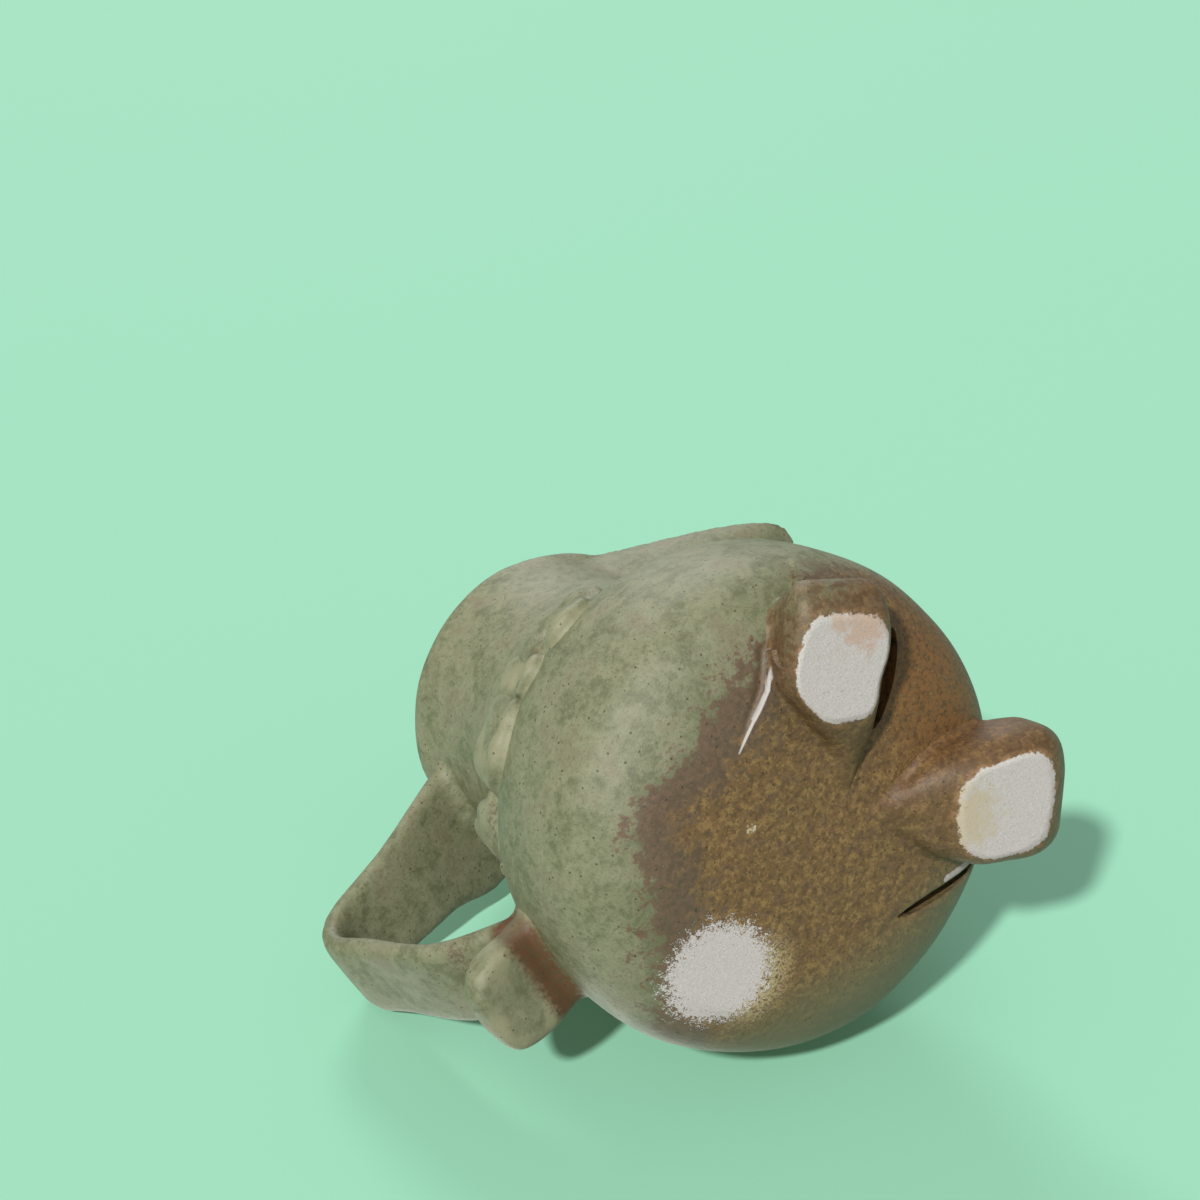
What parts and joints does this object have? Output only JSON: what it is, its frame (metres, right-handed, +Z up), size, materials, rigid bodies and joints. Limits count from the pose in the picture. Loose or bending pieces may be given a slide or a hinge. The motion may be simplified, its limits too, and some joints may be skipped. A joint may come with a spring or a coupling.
{
  "type": "milk jug",
  "caption": "Small hand-made stoneware milk jug with a round belly, flared neck, beak spout, strap handle with a folded tail and tongue feet that lean it back.",
  "frame": {"origin": "on the ground, in the middle of the jug's length and width", "axes": "+Z up, +X towards the spout, +Y to the jug's left"},
  "size_m": [0.136, 0.0986, 0.1137],
  "materials": {
    "celadon_glaze": "satin grey-green glaze with dark specks",
    "rust_glaze": "rust-brown ash-flashed glaze, bare pale clay on the soles",
    "pale_slip": "thin pale glaze over buff clay"
  },
  "bodies": {
    "root": {"belly": "celadon_glaze", "neck": "celadon_glaze", "spout": "celadon_glaze", "handle_strap": "celadon_glaze", "handle_tail": "pale_slip", "foot_right": "rust_glaze", "foot_left": "rust_glaze", "frill_band": "pale_slip", "frill_pad_handle_right": "pale_slip", "frill_pad_long_right": "pale_slip", "frill_pad_leaf_right": "pale_slip", "frill_pad_end_right": "pale_slip", "frill_pad_handle_left": "pale_slip", "frill_pad_long_left": "pale_slip", "frill_pad_leaf_left": "pale_slip", "frill_pad_end_left": "pale_slip"}
  },
  "joints": []
}
